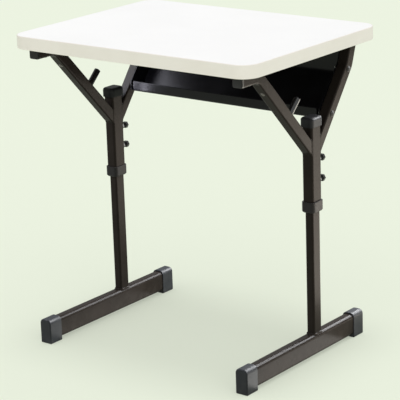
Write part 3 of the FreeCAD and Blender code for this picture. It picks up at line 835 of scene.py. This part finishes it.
@dataclass
class LegSide:
    """Welds and lock screws of one leg.

    Attributes:
        side: Which leg.
        arm: Width of the square arm tubes.
        arm_radius: Their corner radius.
        arm_sink: How far their welds start below the sleeve's face.
        sleeve_radius: Corner radius of the sleeve.
        join_height: Height at which the arms' axes meet the sleeve.
        front_slope: Direction of the front arm away from the sleeve, as Y and Z.
        rear_slope: Direction of the rear arm away from the sleeve, as Y and Z.
        rear_upper_slope: Direction of the rear arm above its bend.
        plate_shift: How far the rear arm meets its plate in front of the plate's middle.
        column_radius: Corner radius of the inner column.
        column_throat: Size of the weld on the foot.
        peg_seat: Y and Z of the bag peg's foot on the arm.
        peg_roundness: Corner radius of the peg's weld, as a share of the peg's width.
        peg_throat: Size of the peg's weld.
    """

    side: Side
    arm: float = 23.0 * MM
    arm_radius: float = 3.5 * MM
    arm_sink: float = 0.8 * MM
    sleeve_radius: float = 5.5 * MM
    join_height: float = 448.0 * MM
    front_slope: Pair = (-0.6861, 0.7275)
    rear_slope: Pair = (0.6083, 0.7937)
    rear_upper_slope: Pair = (0.3251, 0.9457)
    plate_shift: float = 1.0 * MM
    column_radius: float = 4.5 * MM
    column_throat: float = 2.2 * MM
    peg_seat: Pair = (-0.03631, 0.52553)
    peg_roundness: float = 0.49
    peg_throat: float = 1.4 * MM

    def _arm_bead(self, kind: str, face_y: float, slope: Pair, x: float, sleeve_width: float) -> WeldBead:
        """Describes the weld of one arm on the sleeve's face.

        Args:
            kind: Front or rear, for the name.
            face_y: The sleeve's face that the arm meets.
            slope: The arm's direction away from the sleeve, as Y and Z.
            x: The leg's X.
            sleeve_width: Width of that face.

        Returns:
            The bead.
        """
        outward = math.copysign(1.0, slope[0])
        place = axes(Vector((x, face_y, self.join_height)), Vector((-outward, 0, 0)), Vector((0, 0, 1)))
        return WeldBead(f"weld_{kind}_arm_{self.side.tag}", Body.UPPER_FRAME, self.arm, self.arm / abs(slope[0]),
                        self.arm_radius, place, lean=slope[1] / abs(slope[0]), sink=self.arm_sink,
                        seat_width=sleeve_width, seat_radius=self.sleeve_radius)

    def beads(self) -> list[WeldBead]:
        """Describes all welds of this leg.

        Returns:
            The beads of both arms, the column's foot, the peg and the rear plate.
        """
        tag = self.side.tag
        sleeve_low, sleeve_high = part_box("sleeve_" + tag)
        x = 0.5 * (sleeve_low.x + sleeve_high.x)
        sleeve_width = sleeve_high.x - sleeve_low.x
        column_low, column_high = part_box("inner_column_" + tag)
        column_size = column_high - column_low
        foot_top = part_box("foot_tube_" + tag)[1].z
        plate_low, plate_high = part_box("rear_mount_plate_" + tag)
        plate_y = 0.5 * (plate_low.y + plate_high.y) - self.plate_shift
        peg_low, peg_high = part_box("bag_peg_" + tag)
        peg_width = peg_high.x - peg_low.x
        leg = Body.LEFT_LEG if self.side is Side.LEFT else Body.RIGHT_LEG
        across, along = Vector((1, 0, 0)), Vector((0, 1, 0))
        column = axes(Vector((x, 0.5 * (column_low.y + column_high.y), foot_top)), across, along)
        peg_up = Vector((0, self.front_slope[1], -self.front_slope[0]))
        peg = axes(Vector((x, *self.peg_seat)), across, peg_up.cross(across))
        plate = axes(Vector((x, plate_y, plate_low.z)), -across, along)
        upper = self.rear_upper_slope
        return [
            self._arm_bead("front", sleeve_low.y, self.front_slope, x, sleeve_width),
            self._arm_bead("rear", sleeve_high.y, self.rear_slope, x, sleeve_width),
            WeldBead("weld_column_foot_" + tag, leg, column_size.x, column_size.y, self.column_radius, column,
                     throat=self.column_throat, sink=self.column_throat),
            WeldBead("weld_bag_peg_" + tag, Body.UPPER_FRAME, peg_width, peg_width,
                     self.peg_roundness * peg_width, peg, throat=self.peg_throat),
            WeldBead("weld_rear_plate_" + tag, Body.UPPER_FRAME, self.arm, self.arm / upper[1], self.arm_radius,
                     plate, lean=-upper[0] / upper[1]),
        ]

    def build(self, book: FinishBook) -> dict[str, bpy.types.Object]:
        """Models the welds and lock screws of this leg.

        Args:
            book: The finishes.

        Returns:
            The new pieces by name.
        """
        screws = [LockScrew(f"lock_bolt_{level}_{self.side.tag}") for level in ("upper", "lower")]
        pieces = [entry.build(book) for entry in (*self.beads(), *screws)]
        LOG.info("made %s", ", ".join(piece.name for piece in pieces))
        return {piece.name: piece for piece in pieces}


@dataclass(frozen=True)
class PhotoCamera:
    """Camera at the photograph's viewing angle.

    Attributes:
        place: Where it stands, in metres.
        azimuth: Degrees round the desk from straight in front, to its right.
        elevation: Degrees that it looks down.
        roll: Degrees that its horizon is turned.
        lens: Focal length, in millimetres on the default sensor.
        reach: How far it sees, in metres.
    """

    place: Point = (2.265, -2.883, 1.398)
    azimuth: float = 38.15
    elevation: float = 16.64
    roll: float = -1.93
    lens: float = 165.7
    reach: float = 200.0

    def build(self) -> bpy.types.Object:
        """Makes the camera and sets it as the scene's.

        Returns:
            The camera object.
        """
        turn, drop, roll = (math.radians(angle) for angle in (self.azimuth, self.elevation, self.roll))
        ahead = Vector((-math.sin(turn) * math.cos(drop), math.cos(turn) * math.cos(drop), -math.sin(drop)))
        level = Vector((math.cos(turn), math.sin(turn), 0.0))
        plumb = level.cross(ahead)
        right = math.cos(roll) * level + math.sin(roll) * plumb
        up = math.cos(roll) * plumb - math.sin(roll) * level
        data = bpy.data.cameras.new("photo_camera")
        data.lens = self.lens
        data.clip_end = self.reach
        camera = bpy.data.objects.new("photo_camera", data)
        bpy.context.scene.collection.objects.link(camera)
        camera.matrix_world = axes(Vector(self.place), right, up)
        bpy.context.scene.camera = camera
        return camera


@dataclass(frozen=True)
class SoftLamp:
    """Wide, soft studio lamp that lights everything from one direction.

    Attributes:
        name: The lamp's name.
        toward: Direction from the desk to the lamp.
        strength: Light on a surface that faces it.
        width: Degrees of sky that it covers.
    """

    name: str
    toward: Point
    strength: float
    width: float

    def build(self) -> bpy.types.Object:
        """Makes the lamp, aimed at the desk.

        Returns:
            The lamp object.
        """
        data = bpy.data.lights.new(self.name, "SUN")
        data.energy = self.strength
        data.angle = math.radians(self.width)
        lamp = bpy.data.objects.new(self.name, data)
        bpy.context.scene.collection.objects.link(lamp)
        lamp.rotation_mode = "QUATERNION"
        lamp.rotation_quaternion = Vector(self.toward).to_track_quat("Z", "Y")
        return lamp


@dataclass(frozen=True)
class SoftBox:
    """Glowing panel near the desk, which the coated tubes mirror and a few surfaces are kept out of.

    Attributes:
        name: The lamp's name.
        place: Where its middle stands, in metres.
        aim: Point that it faces.
        size: Width and height.
        glow: Brightness of its face, where one is white.
        colour: Its colour.
        upright: Direction that its height leans to.
        only: How the names of the pieces start that it lights, or empty for all.
        bare: Whether the other pieces cast no shadow in its light.
    """

    name: str
    place: Point
    aim: Point
    size: Pair
    glow: float
    colour: Colour
    upright: Point = (0.0, 0.0, 1.0)
    only: tuple[str, ...] = ()
    bare: bool = False

    def build(self, pieces: dict[str, bpy.types.Object], left_out: bpy.types.Collection) -> bpy.types.Object:
        """Makes the panel.

        Args:
            pieces: The desk's objects by name.
            left_out: Objects that it doesn't light, where it lights all the others.

        Returns:
            The lamp object.
        """
        data = bpy.data.lights.new(self.name, "AREA")
        data.shape = "RECTANGLE"
        data.size, data.size_y = self.size
        data.energy = self.glow * math.pi * self.size[0] * self.size[1]
        data.color = self.colour
        lamp = bpy.data.objects.new(self.name, data)
        bpy.context.scene.collection.objects.link(lamp)
        back = (Vector(self.place) - Vector(self.aim)).normalized()
        right = Vector(self.upright).cross(back).normalized()
        lamp.matrix_world = axes(Vector(self.place), right, back.cross(right))
        lamp.visible_camera = False
        lit = left_out
        if self.only:
            lit = bpy.data.collections.new("lit_by_" + self.name)
            for piece in (pieces[name] for name in pieces if name.startswith(self.only)):
                lit.objects.link(piece)
        lamp.light_linking.receiver_collection = lit
        if self.bare:
            lamp.light_linking.blocker_collection = lit
        return lamp


@dataclass
class Studio:
    """Floor, room light, lamps and camera.

    Attributes:
        floor_colour: Pale colour of the floor.
        floor_reach: Half the floor's width.
        floor_glow: Share of the floor's brightness that shines through it from below and takes no shadow.
        room_light: Strength of the room's light on its dim and on its bright side.
        bright_side: Direction of the bright side.
        bright_span: Cosines of the angle to that direction where the room is dimmest and brightest.
        lamps: The soft lamps.
        boxes: The glowing panels.
        unlit: How the names of the pieces start that the panels don't light.
        camera: The camera.
    """

    floor_colour: Colour = (0.831, 0.888, 0.745)
    floor_reach: float = 40.0
    floor_glow: float = 0.45
    room_light: Pair = (0.48, 0.96)
    bright_side: Point = (0.6, 0.65, 0.47)
    bright_span: Pair = (-0.8, 0.9)
    lamps: tuple[SoftLamp, ...] = (
        SoftLamp("overhead_lamp", (0.0, 0.03, 1.0), 0.75, 20.0),
        SoftLamp("front_fill", (0.3, -0.8, 0.5), 0.84, 110.0),
    )
    boxes: tuple[SoftBox, ...] = (
        SoftBox("right_panel", (1.169, 1.04, 0.004), (1.169, 1.04, 1.0), (1.0, 2.1), 7.0, (1.0, 0.9, 0.79),
                upright=(0.617, 0.787, 0.0)),
        SoftBox("left_foot_strip", (-0.2, -0.02, 0.004), (-0.2, -0.02, 1.0), (0.08, 0.32), 2.5, (1.0, 0.97, 0.93),
                upright=(0.0, 1.0, 0.0), only=FEET),
        SoftBox("right_foot_strip", (0.32, -0.02, 0.004), (0.32, -0.02, 1.0), (0.09, 0.32), 4.29,
                (1.0, 0.97, 0.93), upright=(0.0, 1.0, 0.0), only=FEET),
        SoftBox("rear_strip", (0.5, 1.5, 1.2), (0.0, 0.0, 0.1), (1.6, 0.8), 34.0, (0.97, 0.98, 1.0)),
        SoftBox("nut_strip", (0.4, 1.0, 0.72), (0.0, 0.0, 0.4), (1.6, 0.9), 7.0, (1.0, 0.99, 0.94),
                only=("lock_nuts",)),
        SoftBox("lip_window", (-0.277, 0.047, 0.501), (-0.277, 0.1, 0.501), (0.09, 0.06), 29.0, (0.88, 0.87, 1.0),
                only=("book_tray",), bare=True),
        SoftBox("arm_window", (-1.05, -0.8, 0.95), (-0.257, 0.13, 0.56), (0.7, 0.7), 52.0, (0.74, 0.86, 1.0),
                only=("rear_arm_left",)),
        SoftBox("left_window", (-1.25, -0.78, 1.3), (-0.25, 0.15, 0.57), (0.8, 1.0), 14.0, (0.88, 0.89, 1.0)),
    )
    unlit: tuple[str, ...] = ("desktop_laminate", "desktop_edge_band", "desktop_backing", "sleeve_cap_left",
                              "bag_peg_left", "front_arm_plug_left", "lock_", "threaded_lock_")
    camera: PhotoCamera = PhotoCamera()

    def _floor(self) -> bpy.types.Object:
        """Lays the floor, which isn't part of the desk.

        Returns:
            The floor.
        """
        bm = bmesh.new()
        bmesh.ops.create_grid(bm, x_segments=1, y_segments=1, size=self.floor_reach)
        floor = finish_piece(bm, "studio_floor", Matrix.Identity(4))
        made = bpy.data.materials.new("pale_floor")
        made.use_nodes = True
        shader = made.node_tree.nodes["Principled BSDF"]
        shaded = [part * (1.0 - self.floor_glow) for part in self.floor_colour]
        shader.inputs["Base Color"].default_value = (*shaded, 1.0)
        shader.inputs["Emission Color"].default_value = (*self.floor_colour, 1.0)
        shader.inputs["Emission Strength"].default_value = self.floor_glow
        shader.inputs["Roughness"].default_value = 1.0
        shader.inputs["Specular IOR Level"].default_value = 0.0
        floor.data.materials.append(made)
        return floor

    def _room(self) -> None:
        """Lights the room from all round, brighter on one side."""
        world = bpy.data.worlds.new("studio_room")
        bpy.context.scene.world = world
        world.use_nodes = True
        sheet = NodeSheet(world.node_tree)
        around = sheet.add("ShaderNodeTexCoord").outputs["Generated"]
        facing = sheet.dot(around, tuple(Vector(self.bright_side).normalized()))
        lit = sheet.add("ShaderNodeBackground")
        sheet.feed(lit.inputs["Strength"], sheet.spread(facing, self.bright_span, self.room_light))
        sheet.feed(sheet.add("ShaderNodeOutputWorld").inputs["Surface"], lit.outputs[0])

    def build(self, pieces: dict[str, bpy.types.Object]) -> None:
        """Sets up the whole studio.

        Args:
            pieces: The desk's objects by name.
        """
        bpy.context.scene.view_settings.view_transform = "Standard"
        left_out = bpy.data.collections.new("kept_from_panels")
        for piece in [self._floor()] + [pieces[name] for name in pieces if name.startswith(self.unlit)]:
            left_out.objects.link(piece)
        for entry in left_out.collection_objects:
            entry.light_linking.link_state = "EXCLUDE"
        self._room()
        for lamp in self.lamps:
            LOG.info("lit %s", lamp.build().name)
        for box in self.boxes:
            LOG.info("lit %s", box.build(pieces, left_out).name)
        self.camera.build()


def main() -> None:
    """Dresses the desk and sets up its studio."""
    logging.basicConfig(level=logging.INFO)
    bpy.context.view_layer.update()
    book = FinishBook()
    book.dress_nodes(frame["nodes"])
    pieces = dict(frame["nodes"])
    for side in Side:
        pieces.update(LegSide(side).build(book))
    Studio().build(pieces)


if __name__ == "__main__":
    main()
